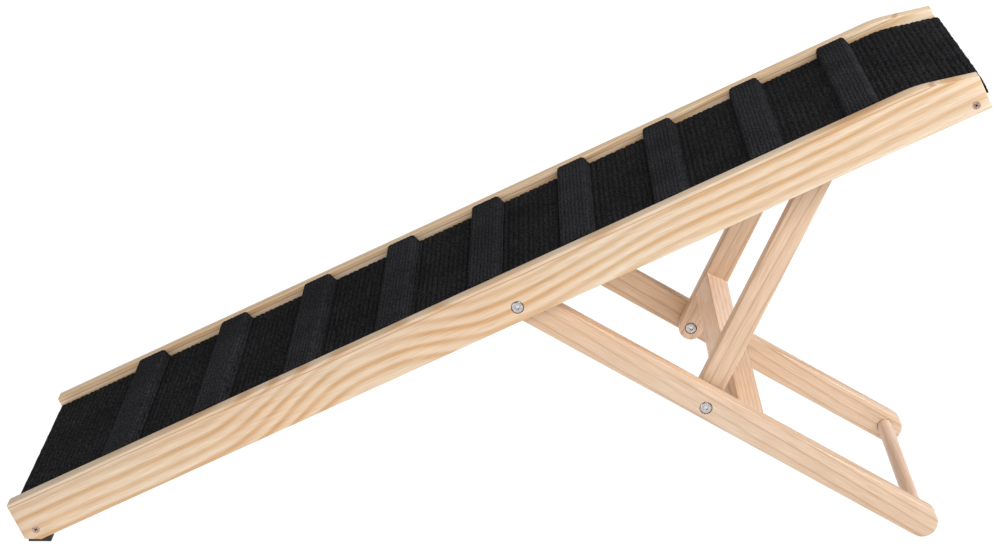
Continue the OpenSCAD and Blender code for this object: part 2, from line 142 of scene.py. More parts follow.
# ---------------------------------------------------------------- nodes and colours


def colour(hex_value):
    """A linear colour from an sRGB hex value."""
    channels = [int(hex_value[i:i + 2], 16) / 255 for i in (1, 3, 5)]
    return tuple(c / 12.92 if c < 0.04045 else ((c + 0.055) / 1.055) ** 2.4 for c in channels) + (1.0,)


def add(tree, kind, settings=None, **inputs):
    """Adds a node. settings are its own properties; inputs are values or sockets, by name or as _0, _1."""
    node = tree.nodes.new(kind)
    for key, value in (settings or {}).items():
        setattr(node, key, value)
    for key, value in inputs.items():
        socket = node.inputs[int(key[1:])] if key[0] == "_" else node.inputs[key.replace("_", " ")]
        if isinstance(value, bpy.types.NodeSocket):
            tree.links.new(value, socket)
        else:
            socket.default_value = value
    return node


def maths(tree, operation, *values):
    """The result of one sum on numbers or sockets."""
    inputs = {f"_{i}": value for i, value in enumerate(values)}
    return add(tree, "ShaderNodeMath", {"operation": operation}, **inputs).outputs[0]


def blend_colours(tree, share, first, second, mode="MIX"):
    """Two colours blended. Inputs 6 and 7 and output 2 are the Mix node's colour sockets."""
    settings = {"data_type": "RGBA", "blend_type": mode}
    return add(tree, "ShaderNodeMix", settings, _0=share, _6=first, _7=second).outputs[2]


def ramp_between(tree, value, stops):
    """A colour ramp from (place, colour) stops."""
    node = add(tree, "ShaderNodeValToRGB", Fac=value)
    band = node.color_ramp
    while len(band.elements) < len(stops):
        band.elements.new(0.5)
    for element, (place, tint) in zip(band.elements, stops):
        element.position = place
        element.color = tint
    return node.outputs["Color"]


def new_material(name, **shader_values):
    """A material with plain numbers on its shader's own sockets, and its tree and shader."""
    material = bpy.data.materials.new(name)
    material.use_nodes = True
    tree = material.node_tree
    shader = tree.nodes["Principled BSDF"]
    for key, value in shader_values.items():
        shader.inputs[key.replace("_", " ")].default_value = value
    return material, tree, shader


def board_coordinates(tree, start, slope):
    """Object coordinates turned to run along a board: X along it, Y through it, Z across it.

    A slope of None is a board that runs across the ramp.
    """
    place = add(tree, "ShaderNodeTexCoord").outputs["Object"]
    turn = (0, 0, math.pi / 2) if slope is None else (0, -slope, 0)
    settings = {"vector_type": "TEXTURE"}
    return add(tree, "ShaderNodeMapping", settings, Vector=place, Location=start, Rotation=turn).outputs[0]


def stretched_noise(tree, place, scale, detail=2.0, roughness=0.5):
    """Noise with its own grain each way. scale is bumps a metre along, through and across."""
    scaled = add(tree, "ShaderNodeMapping", Vector=place, Scale=scale).outputs[0]
    noise = add(tree, "ShaderNodeTexNoise", Vector=scaled, Scale=1.0, Detail=detail, Roughness=roughness)
    return noise.outputs["Fac"]


def centred(tree, value, reach):
    """A noise value of 0 to 1 as a distance to either side of nothing."""
    return maths(tree, "MULTIPLY", maths(tree, "SUBTRACT", value, 0.5), reach)


def grey_level(value):
    """A number as a grey, for a colour ramp that gives a number."""
    return (value, value, value, 1.0)


# ---------------------------------------------------------------- wood

# Pine is pale earlywood with darker latewood bands: light, mid and dark shades of each board,
# and where the bands lie between one ring and the next.
RAIL_SHADES = (colour("#E0CCB4"), colour("#D8BE9D"), colour("#CCA67C"))
LEG_SHADES = (colour("#D8BFA7"), colour("#D1B398"), colour("#BA9374"))
# a lighter copy of the rail's pine: painted light on the far rail, where less light reaches it
FAR_RAIL_PAINTED_LIGHT_SHADES = (colour("#F0DBC0"), colour("#E8CCA4"), colour("#DAB284"))
# a lighter copy of the legs' pine: painted light on the cross block, which sits in shade under the deck
BLOCK_PAINTED_LIGHT_SHADES = (colour("#F2DCCB"), colour("#ECD1BD"), colour("#D4AC94"))
BROAD_BANDS = (0.22, 0.46, 0.62, 0.80, 0.92)
FINE_BANDS = (0.30, 0.76, 0.86, 0.91, 0.97)


def heart_height(tree, along, height, changes):
    """Where the tree's heart runs across the board. Each change is (from, to, rise) along the board."""
    for start, end, rise in changes:
        settings = {"interpolation_type": "SMOOTHSTEP"}
        step = add(tree, "ShaderNodeMapRange", settings, Value=along,
                   From_Min=start, From_Max=end, To_Max=rise).outputs[0]
        height = maths(tree, "ADD", step, height)
    return height


def pine(name, start, slope, shades, heart, ring_width, changes=(), bands=BROAD_BANDS, wander=2.0 * MM,
         contrast=1.0, vein=None, seed=0.0):
    """Planed and satin-lacquered pine.

    heart is where the tree's heart lies from the board's start, as (through, across) distances.
    changes lift or lower the heart along the board, which draws the nested arches of a
    flat-sawn face. vein is the distance across of a thin resin line.
    """
    material, tree, shader = new_material(name, Coat_Weight=0.1, Coat_Roughness=0.35)
    light, mid, dark = shades
    place = board_coordinates(tree, start, slope)
    settings = {"operation": "ADD"}
    shifted = add(tree, "ShaderNodeVectorMath", settings, _0=place, _1=(seed, seed, seed)).outputs[0]
    parts = add(tree, "ShaderNodeSeparateXYZ", Vector=place).outputs
    slow = centred(tree, stretched_noise(tree, shifted, (4.0, 10.0, 14.0), detail=1.0), 6 * wander)
    brisk = centred(tree, stretched_noise(tree, shifted, (13.0, 40.0, 70.0), detail=1.0), 1.5 * wander)
    through = maths(tree, "SUBTRACT", parts["Y"], heart[0])
    height = heart_height(tree, parts["X"], heart[1], changes)
    across = maths(tree, "ADD", maths(tree, "SUBTRACT", parts["Z"], height), slow)
    radius = maths(tree, "SQRT", maths(tree, "ADD", maths(tree, "POWER", through, 2.0),
                                       maths(tree, "POWER", across, 2.0)))
    radius = maths(tree, "ADD", radius, brisk)
    ring = maths(tree, "FRACT", maths(tree, "DIVIDE", radius, ring_width))
    stops = zip((0.0,) + bands + (1.0,), (light, light, mid, dark, dark, mid, light))
    tint = ramp_between(tree, ring, list(stops))
    # some years are paler than others
    years = stretched_noise(tree, shifted, (2.0, 50.0, 90.0), detail=1.0)
    strength = add(tree, "ShaderNodeMapRange", Value=years, From_Min=0.35, From_Max=0.6,
                   To_Min=0.55 * contrast, To_Max=contrast).outputs[0]
    tint = blend_colours(tree, strength, light, tint)
    if vein is not None:
        wavy = maths(tree, "ADD", parts["Z"], brisk)
        off_vein = maths(tree, "ABSOLUTE", maths(tree, "SUBTRACT", wavy, vein))
        line_share = add(tree, "ShaderNodeMapRange", Value=off_vein, From_Min=0.3 * MM, From_Max=0.9 * MM,
                         To_Min=0.75, To_Max=0.0).outputs[0]
        tint = blend_colours(tree, line_share, tint, colour("#B88F68"))
    # fine fibres two thirds of a millimetre wide and under, long along the board
    fibres = stretched_noise(tree, shifted, (30.0, 1500.0, 1500.0), detail=3.0, roughness=0.6)
    grey = ramp_between(tree, fibres, [(0.35, colour("#DDD4C8")), (0.6, colour("#FFFFFF"))])
    tint = blend_colours(tree, 0.7, tint, grey, "MULTIPLY")
    # warmer and paler patches along the board
    patches = stretched_noise(tree, shifted, (5.0, 9.0, 20.0), detail=1.0)
    warm = ramp_between(tree, patches, [(0.35, colour("#FFF5EC")), (0.65, colour("#FFFFFF"))])
    tint = blend_colours(tree, 0.9, tint, warm, "MULTIPLY")
    tree.links.new(tint, shader.inputs["Base Color"])
    rough = ramp_between(tree, fibres, [(0.3, grey_level(0.55)), (0.7, grey_level(0.40))])
    tree.links.new(rough, shader.inputs["Roughness"])
    bump = add(tree, "ShaderNodeBump", Strength=0.2, Distance=0.12 * MM, Height=fibres)
    tree.links.new(bump.outputs[0], shader.inputs["Normal"])
    return material


def dowel_wood(name, start):
    """Sanded hardwood rod: pale, even, with faint fibres that run across the ramp."""
    material, tree, shader = new_material(name, Roughness=0.5)
    place = board_coordinates(tree, start, 0.0)
    fibres = stretched_noise(tree, place, (900.0, 14.0, 900.0), detail=3.0)
    streaks = stretched_noise(tree, place, (160.0, 5.0, 160.0))
    tint = ramp_between(tree, streaks, [(0.3, colour("#E2CBBA")), (0.7, colour("#D3B5A0"))])
    grey = ramp_between(tree, fibres, [(0.3, colour("#E2DCD2")), (0.7, colour("#FFFFFF"))])
    tree.links.new(blend_colours(tree, 0.8, tint, grey, "MULTIPLY"), shader.inputs["Base Color"])
    bump = add(tree, "ShaderNodeBump", Strength=0.2, Distance=0.15 * MM, Height=fibres)
    tree.links.new(bump.outputs[0], shader.inputs["Normal"])
    return material


def plywood(name):
    """Thin sanded poplar plywood, seen only from below: broad soft figure and fine pores."""
    material, tree, shader = new_material(name, Roughness=0.6)
    place = board_coordinates(tree, RAMP_START, RAMP_SLOPE)
    figure = stretched_noise(tree, place, (5.0, 40.0, 28.0), detail=3.0)
    pores = stretched_noise(tree, place, (60.0, 900.0, 900.0), detail=2.0)
    tint = ramp_between(tree, figure, [(0.3, colour("#E2C79C")), (0.6, colour("#D2B183"))])
    grey = ramp_between(tree, pores, [(0.35, colour("#D8D0C4")), (0.6, colour("#FFFFFF"))])
    tree.links.new(blend_colours(tree, 0.7, tint, grey, "MULTIPLY"), shader.inputs["Base Color"])
    bump = add(tree, "ShaderNodeBump", Strength=0.15, Distance=0.1 * MM, Height=pores)
    tree.links.new(bump.outputs[0], shader.inputs["Normal"])
    return material


# ---------------------------------------------------------------- metal, rubber and carpet


def sunken(tree, place, face_y, shallow, deep):
    """From 0 on a head's face to 1 inside its recess, on both sides of the ramp."""
    y = add(tree, "ShaderNodeSeparateXYZ", Vector=place).outputs["Y"]
    depth = maths(tree, "ABSOLUTE", maths(tree, "SUBTRACT", maths(tree, "ABSOLUTE", y), face_y))
    return add(tree, "ShaderNodeMapRange", Value=depth, From_Min=shallow, From_Max=deep).outputs[0]


def nickel_plate(name, face_y):
    """Bright nickel-plated steel, polished, with painted shade on the socket's walls and a painted
    highlight on its floor.
    """
    material, tree, shader = new_material(name, Metallic=1.0, Roughness=0.22)
    place = add(tree, "ShaderNodeTexCoord").outputs["Object"]
    wear = add(tree, "ShaderNodeTexNoise", Vector=place, Scale=900.0, Detail=4.0).outputs["Fac"]
    tint = ramp_between(tree, wear, [(0.3, colour("#A8A3A3")), (0.7, colour("#CFCBCB"))])
    # painted shade on the socket's walls, then a painted highlight on its floor, by depth under the head's
    # face
    painted_wall_shade = sunken(tree, place, face_y, 0.15 * MM, 0.7 * MM)
    painted_floor_highlight = sunken(tree, place, face_y, 1.3 * MM, 1.5 * MM)
    tint = blend_colours(tree, painted_wall_shade, tint, colour("#5A504C"))
    tint = blend_colours(tree, painted_floor_highlight, tint, colour("#D8D4D2"))
    tree.links.new(tint, shader.inputs["Base Color"])
    rough = ramp_between(tree, wear, [(0.3, grey_level(0.3)), (0.7, grey_level(0.15))])
    tree.links.new(rough, shader.inputs["Roughness"])
    return material


def zinc_plate(name, light, dark, roughness, face_y=None):
    """Zinc-plated steel: a dull sparkle from the plating's crystals, and painted shade in the driver's
    recess.
    """
    material, tree, shader = new_material(name, Metallic=1.0, Roughness=roughness)
    place = add(tree, "ShaderNodeTexCoord").outputs["Object"]
    marks = add(tree, "ShaderNodeTexNoise", Vector=place, Scale=700.0, Detail=3.0).outputs["Fac"]
    tint = ramp_between(tree, marks, [(0.35, colour(dark)), (0.65, colour(light))])
    if face_y is not None:
        # painted shade: the driver's recess is darkened by its depth under the head's face
        recess = sunken(tree, place, face_y, 0.15 * MM, 0.6 * MM)
        tint = blend_colours(tree, recess, tint, colour("#2E2420"))
    tree.links.new(tint, shader.inputs["Base Color"])
    bump = add(tree, "ShaderNodeBump", Strength=0.1, Distance=0.05 * MM, Height=marks)
    tree.links.new(bump.outputs[0], shader.inputs["Normal"])
    return material


def moulded_rubber(name):
    """Black moulded rubber: matte with a fine eggshell grain."""
    material, tree, shader = new_material(name, Roughness=0.75, IOR=1.52)
    place = add(tree, "ShaderNodeTexCoord").outputs["Object"]
    grain = add(tree, "ShaderNodeTexNoise", Vector=place, Scale=1500.0, Detail=2.0).outputs["Fac"]
    tint = ramp_between(tree, grain, [(0.3, colour("#141414")), (0.7, colour("#222222"))])
    tree.links.new(tint, shader.inputs["Base Color"])
    bump = add(tree, "ShaderNodeBump", Strength=0.3, Distance=0.1 * MM, Height=grain)
    tree.links.new(bump.outputs[0], shader.inputs["Normal"])
    return material


def needle_carpet(name, valley, crest, tuft_length):
    """Ribbed needle-punched polypropylene carpet: matte black fibre, with painted shade in the valleys
    between its ribs, and short tufts that lie along each rib."""
    material, tree, shader = new_material(name, Roughness=1.0)
    shader.inputs["Specular IOR Level"].default_value = 0.03
    place = board_coordinates(tree, RAMP_START, RAMP_SLOPE)
    rib = add(tree, "ShaderNodeAttribute", {"attribute_name": "rib"}).outputs["Fac"]
    # tufts two millimetres wide: the ribs run across the ramp, and so do the tufts
    tufts = stretched_noise(tree, place, (480.0, 1.0 / tuft_length, 480.0), detail=3.0, roughness=0.65)
    fuzz = stretched_noise(tree, place, (1900.0, 1900.0, 1900.0), detail=2.0)
    cloudy = stretched_noise(tree, place, (14.0, 14.0, 14.0), detail=2.0)
    # painted shade: darker in the valleys between the ribs, lighter on their crests, from the rib's height
    tint = ramp_between(tree, rib, [(0.0, colour(valley)), (0.8, colour(crest))])
    flecks = ramp_between(tree, tufts, [(0.38, colour("#6A6A6A")), (0.6, colour("#FFFFFF"))])
    tint = blend_colours(tree, 0.95, tint, flecks, "MULTIPLY")
    soft = ramp_between(tree, cloudy, [(0.35, colour("#D8D8D8")), (0.65, colour("#FFFFFF"))])
    tint = blend_colours(tree, 0.9, tint, soft, "MULTIPLY")
    tree.links.new(tint, shader.inputs["Base Color"])
    height = maths(tree, "ADD", maths(tree, "MULTIPLY", tufts, 0.7), maths(tree, "MULTIPLY", fuzz, 0.5))
    bump = add(tree, "ShaderNodeBump", Strength=1.0, Distance=0.9 * MM, Height=height)
    tree.links.new(bump.outputs[0], shader.inputs["Normal"])
    return material


# ---------------------------------------------------------------- meshes


def piece_from(name, mesh, body, slot, material, *replaced):
    """Makes a finished piece, rides it on its body and hides the CAD nodes that it stands for."""
    piece = bpy.data.objects.new(name, mesh)
    bpy.context.scene.collection.objects.link(piece)
    mesh.materials.clear()
    mesh.materials.append(material)
    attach(piece, body)
    if replaced:
        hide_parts(*replaced)
    return piece


def baked(piece):
    """The piece's mesh with its modifiers applied."""
    bpy.context.view_layer.update()
    evaluated = piece.evaluated_get(bpy.context.evaluated_depsgraph_get())
    mesh = bpy.data.meshes.new_from_object(evaluated)
    mesh.name = piece.name
    return mesh


def sharp_groups(mesh):
    """The sharp edges of a board, gathered into runs that touch each other."""
    sharp = [e for e in mesh.edges if len(e.link_faces) == 2 and e.calc_face_angle() > CREASE_ANGLE]
    by_vertex = {}
    for edge in sharp:
        for vertex in edge.verts:
            by_vertex.setdefault(vertex, []).append(edge)
    left = set(sharp)
    while left:
        run, queue = [], [left.pop()]
        while queue:
            edge = queue.pop()
            run.append(edge)
            for vertex in edge.verts:
                for other in by_vertex[vertex]:
                    if other in left:
                        left.remove(other)
                        queue.append(other)
        yield run


def extent(run):
    """The longest side of the box round a run of edges."""
    points = np.array([vertex.co for edge in run for vertex in edge.verts])
    return float((points.max(axis=0) - points.min(axis=0)).max())


def eased_board(node, ease, hole_size=30 * MM):
    """A copy of a node with its edges rounded over. Runs of edges up to hole_size stay crisp."""
    source = frame["nodes"][node].data
    mesh = bmesh.new()
    mesh.from_mesh(source)
    bmesh.ops.remove_doubles(mesh, verts=mesh.verts, dist=1e-6)
    bmesh.ops.dissolve_limit(mesh, angle_limit=FLAT_ANGLE, verts=mesh.verts, edges=mesh.edges)
    weight = mesh.edges.layers.float.new("bevel_weight_edge")
    for run in sharp_groups(mesh):
        rounded = 1.0 if extent(run) > hole_size else 0.0
        for edge in run:
            edge[weight] = rounded
    copy = bpy.data.meshes.new(node + "_eased")
    mesh.to_mesh(copy)
    mesh.free()
    board = bpy.data.objects.new(node + "_eased", copy)
    bpy.context.scene.collection.objects.link(board)
    bevel = board.modifiers.new("ease", "BEVEL")
    bevel.limit_method = "WEIGHT"
    bevel.width = ease
    bevel.segments = 3
    bevel.use_clamp_overlap = False
    mesh = baked(board)
    bpy.data.objects.remove(board)
    shade_smooth(mesh)
    return mesh


def shade_smooth(mesh):
    """Smooths the faces and keeps sharper edges crisp."""
    shape = bmesh.new()
    shape.from_mesh(mesh)
    for face in shape.faces:
        face.smooth = True
    for edge in shape.edges:
        edge.smooth = len(edge.link_faces) == 2 and edge.calc_face_angle() < SMOOTH_ANGLE
    shape.to_mesh(mesh)
    shape.free()


def line(start, end, step):
    """Points from start towards end, without the end itself."""
    count = max(1, round((end - start).length / step))
    return [start.lerp(end, i / count) for i in range(count)]


def arc(centre, radius, angle_from, angle_to, step):
    """Points on an arc, without its end. Angles are turned clockwise from straight up."""
    count = max(2, round(abs(angle_to - angle_from) * radius / step))
    angles = [angle_from + (angle_to - angle_from) * i / count for i in range(count)]
    return [centre + radius * Vector((math.sin(a), math.cos(a))) for a in angles]


def carpet_path(step):
    """The carpet's face from the low end, over the landing and down the high end, as (along, up)."""
    bend = Vector((RAIL_LENGTH - LANDING_LENGTH, RAIL_HEIGHT))
    centre = bend - Vector((LANDING_RADIUS * math.tan(LANDING_DIP / 2), LANDING_RADIUS))
    radius = LANDING_RADIUS - CARPET_DROP
    down_slope = Vector((math.cos(LANDING_DIP), -math.sin(LANDING_DIP)))
    square = Vector((math.sin(LANDING_DIP), math.cos(LANDING_DIP)))
    landing_start = centre + radius * square
    fold_x = RAIL_LENGTH + CARPET_OVERHANG - CARPET_FOLD_RADIUS * (1 - math.sin(LANDING_DIP))
    fold_start = landing_start + down_slope * (fold_x - landing_start.x) / down_slope.x
    fold_centre = fold_start - CARPET_FOLD_RADIUS * square
    hem_top = fold_centre + Vector((CARPET_FOLD_RADIUS, 0))
    hem = Vector((hem_top.x, CARPET_HEM_UP))
    points = line(Vector((0, RAIL_HEIGHT - CARPET_DROP)), centre + Vector((0, radius)), step)
    points += arc(centre, radius, 0, LANDING_DIP, step)
    points += line(landing_start, fold_start, step)
    points += arc(fold_centre, CARPET_FOLD_RADIUS, LANDING_DIP, math.pi / 2, step)
    points += line(hem_top, hem, step)
    return points + [hem]


def normals_along(path):
    """The direction that points out of the cloth at each point of a path."""
    found = []
    last = len(path) - 1
    for i in range(len(path)):
        run = (path[min(i + 1, last)] - path[max(i - 1, 0)]).normalized()
        found.append(Vector((-run.y, run.x)))
    return found


def lengths_along(path):
    """How far along the path each of its points lies."""
    steps = [0.0] + [(b - a).length for a, b in zip(path, path[1:])]
    return np.cumsum(steps)


def cloth_mesh(name, rows, along, pile):
    """A closed mesh from rows of points that go round a cloth, with its two sides capped.

    Each row has its distance along the cloth and its pile: 1 where ribs rise and 0 on the back.
    """
    count, width = len(rows), len(rows[0])
    points = [point for row in rows for point in row]
    faces = []
    for i in range(count):
        j = (i + 1) % count
        for k in range(width - 1):
            faces.append((i * width + k, i * width + k + 1, j * width + k + 1, j * width + k))
    faces.append([i * width for i in range(count)])
    faces.append([i * width + width - 1 for i in reversed(range(count))])
    mesh = bpy.data.meshes.new(name)
    mesh.from_pydata(points, [], faces)
    for label, values in (("along", along), ("pile", pile)):
        layer = mesh.attributes.new(label, "FLOAT", "POINT")
        layer.data.foreach_set("value", np.repeat(np.asarray(values, dtype=np.float32), width))
    mesh.validate()
    mesh.update()
    return mesh


def face_outwards(mesh):
    """Turns every face of a closed mesh outwards and smooths it."""
    shape = bmesh.new()
    shape.from_mesh(mesh)
    bmesh.ops.recalc_face_normals(shape, faces=shape.faces)
    for face in shape.faces:
        face.smooth = True
    shape.to_mesh(mesh)
    shape.free()


def cloth_round(name, face, sink, thickness, back_steps, columns, place):
    """A cloth's face, sunk by what the ribs will raise, and its back, joined round both edges.

    back_steps are the points of the face that the back follows, from the far end to the start.
    place turns distances along, across and up into a point. Also gives the cloth's length.
    """
    outward = normals_along(face)
    distance = lengths_along(face)
    steps = [(i, sink, 1.0) for i in range(len(face))] + [(i, thickness, 0.0) for i in back_steps]
    rows, along, pile = [], [], []
    for i, depth, share in steps:
        point = face[i] - depth * outward[i]
        rows.append([place(point.x, y, point.y) for y in columns])
        along.append(distance[i])
        pile.append(share)
    base = cloth_mesh(name, rows, along, pile)
    face_outwards(base)
    return base, float(distance[-1])


# ---------------------------------------------------------------- geometry nodes


def new_tree(name, sizes):
    """A geometry node tree with a geometry input, named sizes and a geometry output."""
    tree = bpy.data.node_groups.new(name, "GeometryNodeTree")
    tree.interface.new_socket("Geometry", in_out="INPUT", socket_type="NodeSocketGeometry")
    for label, kind in sizes.items():
        tree.interface.new_socket(label, in_out="INPUT", socket_type=kind)
    tree.interface.new_socket("Geometry", in_out="OUTPUT", socket_type="NodeSocketGeometry")
    return tree, tree.nodes.new("NodeGroupInput").outputs, tree.nodes.new("NodeGroupOutput").inputs


def run_tree(tree, mesh, name, values):
    """Runs a tree on a mesh and gives the plain mesh that it makes."""
    carrier = bpy.data.objects.new(name, mesh)
    bpy.context.scene.collection.objects.link(carrier)
    modifier = carrier.modifiers.new(tree.name, "NODES")
    modifier.node_group = tree
    for item in tree.interface.items_tree:
        if item.in_out == "INPUT" and item.name in values:
            modifier[item.identifier] = values[item.name]
    result = baked(carrier)
    bpy.data.objects.remove(carrier)
    return result


def ridge(tree, distance, pitch):
    """A row of round-topped ribs, from 0 in the valley to 1 on the crest."""
    fullness = 0.75  # under 1 gives broad crests and narrow valleys
    wave = maths(tree, "SINE", maths(tree, "MULTIPLY", maths(tree, "DIVIDE", distance, pitch), math.pi))
    return maths(tree, "POWER", maths(tree, "ABSOLUTE", wave), fullness)


def ribs_tree():
    """Raises ribs on a cloth along its distance attribute, every second one taller, with loose threads."""
    tree, given, out = new_tree("Carpet ribs", {
        "Pitch": "NodeSocketFloat",
        "Height": "NodeSocketFloat",
        "Second height": "NodeSocketFloat",
        "Wander": "NodeSocketFloat",
        "Fuzz": "NodeSocketFloat",
        "Lump height": "NodeSocketFloat",
        "Lump start": "NodeSocketFloat",
        "Material": "NodeSocketMaterial",
    })
    named = {"data_type": "FLOAT"}
    along = add(tree, "GeometryNodeInputNamedAttribute", named, Name="along").outputs["Attribute"]
    pile = add(tree, "GeometryNodeInputNamedAttribute", named, Name="pile").outputs["Attribute"]
    place = add(tree, "GeometryNodeInputPosition").outputs[0]
    drift = add(tree, "ShaderNodeTexNoise", Vector=place, Scale=42.0, Detail=2.0).outputs["Fac"]
    distance = maths(tree, "ADD", along, centred(tree, drift, given["Wander"]))
    first = ridge(tree, distance, given["Pitch"])
    second = ridge(tree, distance, maths(tree, "MULTIPLY", given["Pitch"], 2.0))
    rise = maths(tree, "ADD", maths(tree, "MULTIPLY", first, given["Height"]),
                 maths(tree, "MULTIPLY", second, given["Second height"]))
    crumbs = add(tree, "ShaderNodeTexNoise", Vector=place, Scale=620.0, Detail=2.0).outputs["Fac"]
    rise = maths(tree, "ADD", rise, centred(tree, crumbs, given["Fuzz"]))
    # the cloth waves a little where it isn't held down
    waves = add(tree, "ShaderNodeTexNoise", Vector=place, Scale=58.0, Detail=1.0).outputs["Fac"]
    past = maths(tree, "SUBTRACT", along, given["Lump start"])
    free = add(tree, "ShaderNodeMapRange", Value=past, From_Max=LOOSE_FADE).outputs[0]
    swing = centred(tree, waves, given["Lump height"])
    rise = maths(tree, "MULTIPLY", maths(tree, "ADD", rise, maths(tree, "MULTIPLY", swing, free)), pile)
    normal = add(tree, "GeometryNodeInputNormal").outputs[0]
    offset = add(tree, "ShaderNodeVectorMath", {"operation": "SCALE"}, _0=normal, Scale=rise).outputs[0]
    raised = add(tree, "GeometryNodeSetPosition", Geometry=given["Geometry"], Offset=offset)
    # the rib's height, kept for the painted shade between the carpet's ribs
    kept = add(tree, "GeometryNodeStoreNamedAttribute", {"data_type": "FLOAT", "domain": "POINT"},
               Geometry=raised.outputs[0], Name="rib", Value=maths(tree, "MULTIPLY", first, pile))
    plain = add(tree, "GeometryNodeRealizeInstances", Geometry=kept.outputs[0])
    done = add(tree, "GeometryNodeSetMaterial", Geometry=plain.outputs[0], Material=given["Material"])
    tree.links.new(done.outputs[0], out["Geometry"])
    return tree


def fringe_tree():
    """Stands short tapered threads on the points of a hem, each at its own length and lean."""
    tree, given, out = new_tree("Frayed hem", {
        "Thread length": "NodeSocketFloat",
        "Thread radius": "NodeSocketFloat",
        "Lean": "NodeSocketFloat",
        "Seed": "NodeSocketInt",
        "Material": "NodeSocketMaterial",
    })
    thread = add(tree, "GeometryNodeMeshCone", {"fill_type": "TRIANGLE_FAN"}, Vertices=5, Side_Segments=2)
    tree.links.new(given["Thread length"], thread.inputs["Depth"])
    tree.links.new(given["Thread radius"], thread.inputs["Radius Bottom"])
    lean = given["Lean"]
    back = maths(tree, "MULTIPLY", lean, -1.0)
    low = add(tree, "ShaderNodeCombineXYZ", X=back, Y=back, Z=0.0).outputs[0]
    high = add(tree, "ShaderNodeCombineXYZ", X=lean, Y=lean, Z=math.tau).outputs[0]
    turn = add(tree, "FunctionNodeRandomValue", {"data_type": "FLOAT_VECTOR"}, Min=low, Max=high)
    tree.links.new(given["Seed"], turn.inputs["Seed"])
    # inputs 2 and 3 and output 1 are the node's plain-number sockets
    size = add(tree, "FunctionNodeRandomValue", {"data_type": "FLOAT"}, _2=0.35, _3=1.0, Seed=SEED + 1)
    down = (math.pi, 0.0, 0.0)
    angle = add(tree, "ShaderNodeVectorMath", {"operation": "ADD"}, _0=turn.outputs[0], _1=down).outputs[0]
    points = add(tree, "GeometryNodeInstanceOnPoints", Points=given["Geometry"], Instance=thread.outputs[0],
                 Rotation=angle, Scale=size.outputs[1])
    plain = add(tree, "GeometryNodeRealizeInstances", Geometry=points.outputs[0])
    done = add(tree, "GeometryNodeSetMaterial", Geometry=plain.outputs[0], Material=given["Material"])
    tree.links.new(done.outputs[0], out["Geometry"])
    return tree


# ---------------------------------------------------------------- the carpet and the cleats


def deck_carpet(tree, material):
    """One length of ribbed carpet from the low edge, over the landing and down the high end."""
    face = carpet_path(CARPET_RIB_PITCH / DECK_STEPS_PER_RIB)
    side = RAIL_INNER_Y - CARPET_SIDE_GAP
    columns = np.linspace(-side, side, DECK_COLUMNS)
    last = len(face) - 1
    back_steps = [last] + list(reversed(range(0, len(face), DECK_BACK_STEP)))
    base, length = cloth_round("carpet_base", face, CARPET_RIB_SINK, CARPET_THICKNESS, back_steps,
                               columns, ramp_point)
    mesh = run_tree(tree, base, "ribbed_carpet", {
        "Pitch": CARPET_RIB_PITCH,
        "Height": 1.0 * MM,
        "Second height": 0.6 * MM,
        "Wander": 1.6 * MM,
        "Fuzz": 1.0 * MM,
        "Lump height": 2.4 * MM,
        "Lump start": length - LOOSE_END,
        "Material": material,
    })
    carpet = piece_from("ribbed_carpet", mesh, "ramp", "black_carpet", material, "carpet")


def cleat_outline(step):
    """A cleat's rounded section from one foot, over the top, to the other, as (along, up)."""
    flank = Vector(((CLEAT_BASE - CLEAT_TOP) / 2, CLEAT_HEIGHT))
    lean = math.atan2(flank.x, flank.y)
    radius = CLEAT_CORNER_RADIUS
    reach = radius * math.tan((math.pi / 2 - lean) / 2)
    corner = Vector((-CLEAT_TOP / 2, CLEAT_HEIGHT))
    centre = corner + Vector((reach, -radius))
    right_centre = Vector((-centre.x, centre.y))
    foot = Vector((-CLEAT_BASE / 2, CLEAT_FOOT_UP))
    bend_from = centre + radius * Vector((-math.cos(lean), math.sin(lean)))
    bend_to = right_centre + radius * Vector((math.cos(lean), math.sin(lean)))
    points = line(foot, bend_from, step)
    points += arc(centre, radius, lean - math.pi / 2, 0.0, step)
    points += line(centre + Vector((0, radius)), right_centre + Vector((0, radius)), step)
    points += arc(right_centre, radius, 0.0, math.pi / 2 - lean, step)
    points += line(bend_to, Vector((-foot.x, foot.y)), step)
    return points + [Vector((-foot.x, foot.y))]


def cleat_cover(number, tree, material):
    """A strip of finer ribbed carpet pulled over one batten."""
    node = f"cleat_cover_{number}"
    cleat_along = (middle(node) - RAMP_START).dot(ALONG_RAMP)
    deck_up = RAIL_HEIGHT - CARPET_DROP

    def place(along, across, up):
        return ramp_point(cleat_along + along, across, deck_up + max(up, CLEAT_BACK_UP))

    face = cleat_outline(CLEAT_RIB_PITCH / CLEAT_STEPS_PER_RIB)
    side = RAIL_INNER_Y - CLEAT_SIDE_GAP
    columns = np.linspace(-side, side, CLEAT_COLUMNS)
    back_steps = list(range(len(face) - 1, 0, -CLEAT_BACK_STEP)) + [0]
    base, length = cloth_round(node + "_base", face, CLEAT_RIB_SINK, CLEAT_THICKNESS, back_steps,
                               columns, place)
    mesh = run_tree(tree, base, f"cleat_strip_{number}", {
        "Pitch": CLEAT_RIB_PITCH,
        "Height": 0.5 * MM,
        "Second height": 0.08 * MM,
        "Wander": 0.7 * MM,
        "Fuzz": 0.5 * MM,
        "Lump height": 0.0,
        "Lump start": 1.0,
        "Material": material,
    })
    cover = piece_from(f"cleat_strip_{number}", mesh, "ramp", "cleat_carpet", material, node)


